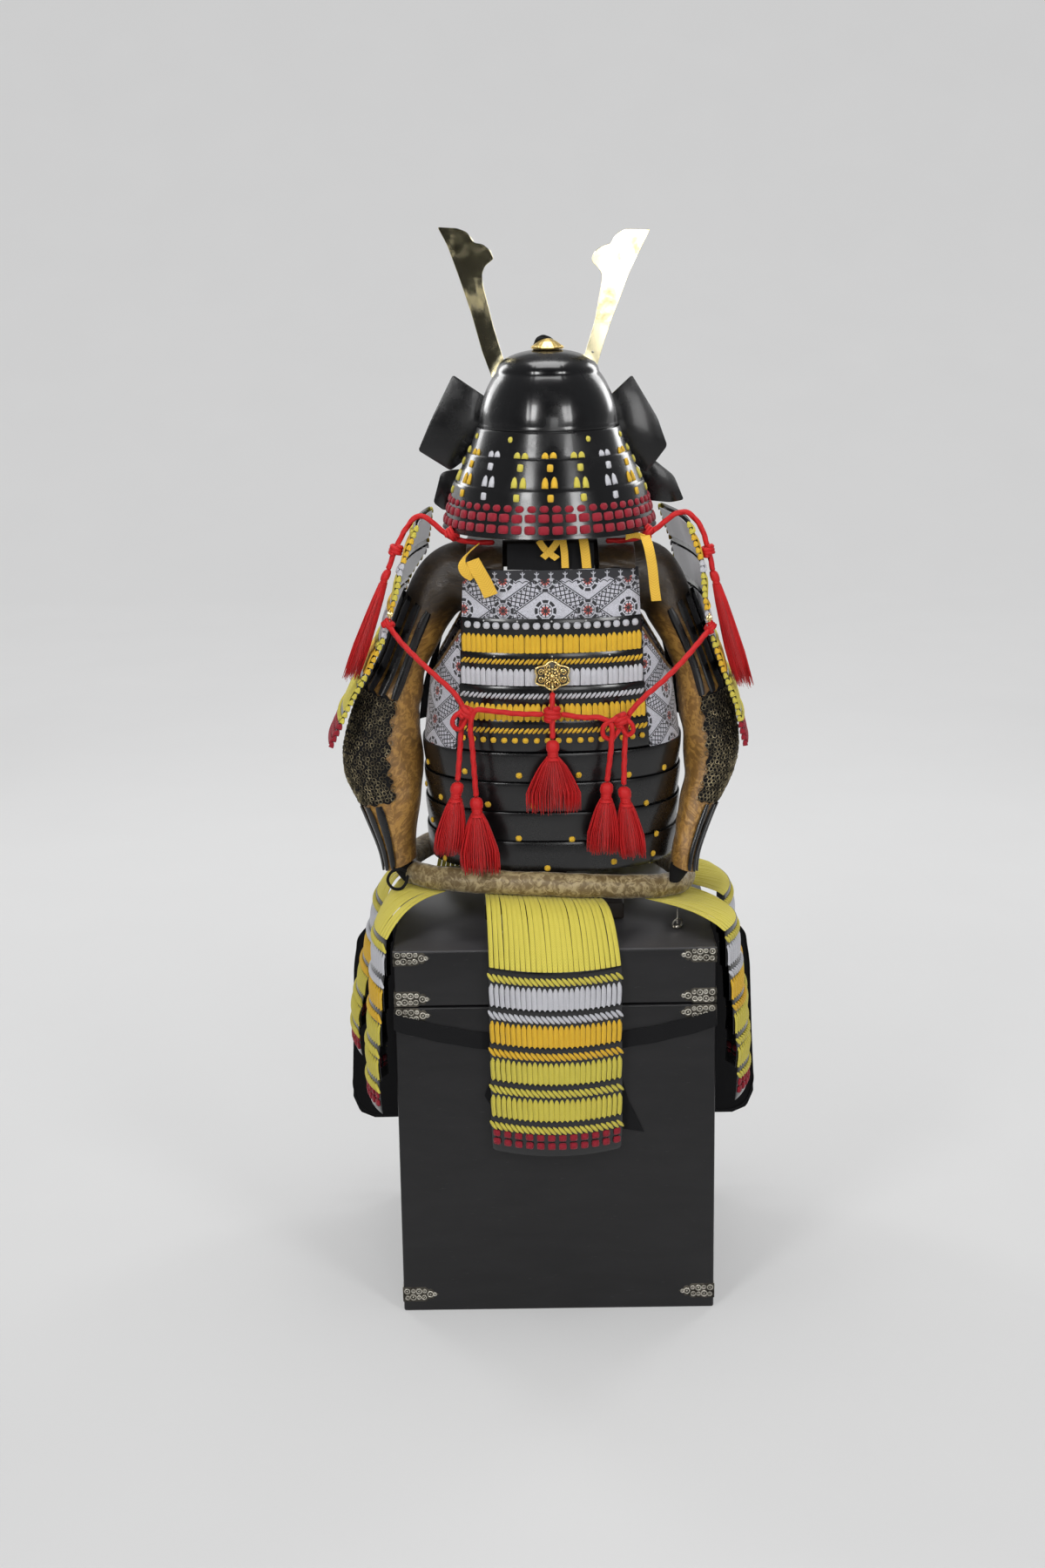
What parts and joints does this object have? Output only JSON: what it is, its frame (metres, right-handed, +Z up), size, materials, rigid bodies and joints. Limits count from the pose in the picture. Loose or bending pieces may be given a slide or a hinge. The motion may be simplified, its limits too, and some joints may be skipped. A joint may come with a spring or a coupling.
{
  "type": "samurai armour on its armour chest",
  "caption": "Laced samurai armour with helmet, cuirass, sleeves, tassets and red tassels, displayed standing on its black lacquered armour chest.",
  "frame": {"origin": "centre of the armour chest's bottom face", "axes": "+Z up, -Y towards the armour's back, +X towards the wearer's right"},
  "size_m": [0.7222, 0.5587, 1.697],
  "materials": {
    "chest_wood": "black satin lacquer over wood",
    "stand_wood": "plain smooth wood",
    "black_lacquer": "glossy black lacquer over iron",
    "lacing": "braided silk lacing in lemon, amber and white over black lacquered lames, crimson knots at the foot",
    "white_brocade": "pale grey brocade with dark wheels and lattice",
    "brown_brocade": "brown and gold brocade, satin sheen",
    "brass": "polished flat brass with light tarnish",
    "gilt": "gilt openwork",
    "black_cloth": "matt black cloth",
    "red_silk": "twisted red silk cord and tassels",
    "mail": "blackened iron mail and splints",
    "antique_brass": "dark antique brass, embossed",
    "leather_tie": "soft yellow-orange leather ties"
  },
  "bodies": {
    "root": {"chest_base": "chest_wood", "chest_lid": "chest_wood", "stand": "stand_wood", "head_block": "stand_wood", "lower_cuirass": "black_lacquer", "back_panel": "lacing", "front_panel": "lacing", "tasset_back": "lacing", "tasset_rear_left": "lacing", "tasset_rear_right": "lacing", "tasset_side_left": "lacing", "tasset_side_right": "lacing", "tasset_front_left": "lacing", "tasset_front_right": "lacing", "shoulder_guard_left": "lacing", "shoulder_guard_right": "lacing", "back_yoke": "white_brocade", "chest_board": "white_brocade", "side_guard_left": "white_brocade", "side_guard_right": "white_brocade", "shoulder_strap_left": "brown_brocade", "shoulder_strap_right": "brown_brocade", "waist_roll": "brown_brocade", "sleeve_left": "brown_brocade", "sleeve_right": "brown_brocade", "forearm_left": "brown_brocade", "forearm_right": "brown_brocade", "back_fitting": "gilt", "collar_board": "black_cloth", "thigh_guard_left": "black_cloth", "thigh_guard_right": "black_cloth", "belt": "black_cloth", "cord_left": "red_silk", "cord_right": "red_silk", "knot_cord_left": "red_silk", "knot_cord_right": "red_silk", "guard_cord_left": "red_silk", "guard_cord_right": "red_silk", "centre_knot": "red_silk", "tassel_left_1": "red_silk", "tassel_left_2": "red_silk", "tassel_right_1": "red_silk", "tassel_right_2": "red_silk", "tassel_centre": "red_silk", "tassel_guard_left": "red_silk", "tassel_guard_right": "red_silk"},
    "helmet": {"helmet_bowl": "black_lacquer", "helmet_visor": "black_lacquer", "neck_guard_1": "black_lacquer", "neck_guard_2": "black_lacquer", "neck_guard_3": "black_lacquer", "turnback_left": "black_lacquer", "turnback_right": "black_lacquer", "small_turnback_left": "black_lacquer", "small_turnback_right": "black_lacquer", "horn_left": "brass", "horn_right": "brass", "horn_socket": "brass", "crown_fitting": "gilt"}
  },
  "joints": [
    {"name": "helmet_lift", "type": "slide", "parent": "root", "child": "helmet", "axis": [0, 0, 1], "range_m": [0, 0.3]}
  ]
}
